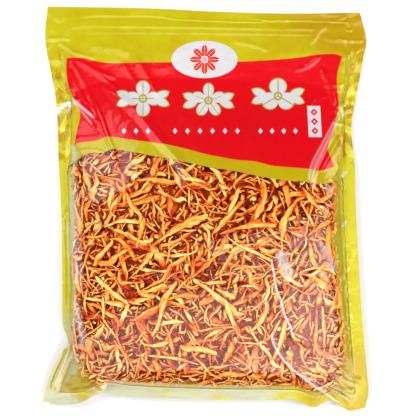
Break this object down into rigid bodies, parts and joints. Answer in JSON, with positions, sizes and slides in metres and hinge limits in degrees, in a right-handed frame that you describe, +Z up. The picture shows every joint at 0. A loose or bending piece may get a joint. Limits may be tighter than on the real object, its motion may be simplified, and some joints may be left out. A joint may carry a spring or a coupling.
{
  "type": "filled pouch of dried cordyceps",
  "caption": "Sealed flat pouch with a printed header, a clear window and a zip, filled with thin dried orange cordyceps strands, lying on its back.",
  "frame": {"origin": "on the surface that the pouch lies on, under the middle of its outline", "axes": "+X across the pouch, +Y from its bottom seal to its top seal, +Z up through the printed front film"},
  "size_m": [0.2294, 0.2844, 0.0386],
  "materials": {
    "gold_film": "glossy gold-yellow printed film",
    "clear_film": "glossy clear film, printed opaque gold and red over its upper two fifths",
    "zip_plastic": "smooth translucent polyethylene",
    "dried_cordyceps": "dry, wrinkled and matt, light orange to red-brown",
    "packed_cordyceps": "dry, matt, dark red-orange between the strands"
  },
  "bodies": {
    "root": {"back_film": "gold_film", "front_film": "clear_film", "zip_rib": "zip_plastic", "zip_groove": "zip_plastic", "packed_cordyceps": "packed_cordyceps", "strand_01": "dried_cordyceps", "strand_02": "dried_cordyceps", "strand_03": "dried_cordyceps", "strand_04": "dried_cordyceps", "strand_05": "dried_cordyceps", "strand_06": "dried_cordyceps", "strand_07": "dried_cordyceps", "strand_08": "dried_cordyceps", "strand_09": "dried_cordyceps", "strand_10": "dried_cordyceps", "strand_11": "dried_cordyceps", "strand_12": "dried_cordyceps", "strand_13": "dried_cordyceps", "strand_14": "dried_cordyceps", "strand_15": "dried_cordyceps", "strand_16": "dried_cordyceps", "strand_17": "dried_cordyceps", "strand_18": "dried_cordyceps", "strand_19": "dried_cordyceps", "strand_20": "dried_cordyceps", "strand_21": "dried_cordyceps", "strand_22": "dried_cordyceps", "strand_23": "dried_cordyceps", "strand_24": "dried_cordyceps", "strand_25": "dried_cordyceps", "strand_26": "dried_cordyceps", "strand_27": "dried_cordyceps", "strand_28": "dried_cordyceps", "strand_29": "dried_cordyceps", "strand_30": "dried_cordyceps", "strand_31": "dried_cordyceps", "strand_32": "dried_cordyceps", "strand_33": "dried_cordyceps", "strand_34": "dried_cordyceps", "strand_35": "dried_cordyceps", "strand_36": "dried_cordyceps", "strand_37": "dried_cordyceps", "strand_38": "dried_cordyceps", "strand_39": "dried_cordyceps", "strand_40": "dried_cordyceps", "strand_41": "dried_cordyceps", "strand_42": "dried_cordyceps", "strand_43": "dried_cordyceps", "strand_44": "dried_cordyceps"}
  },
  "joints": []
}
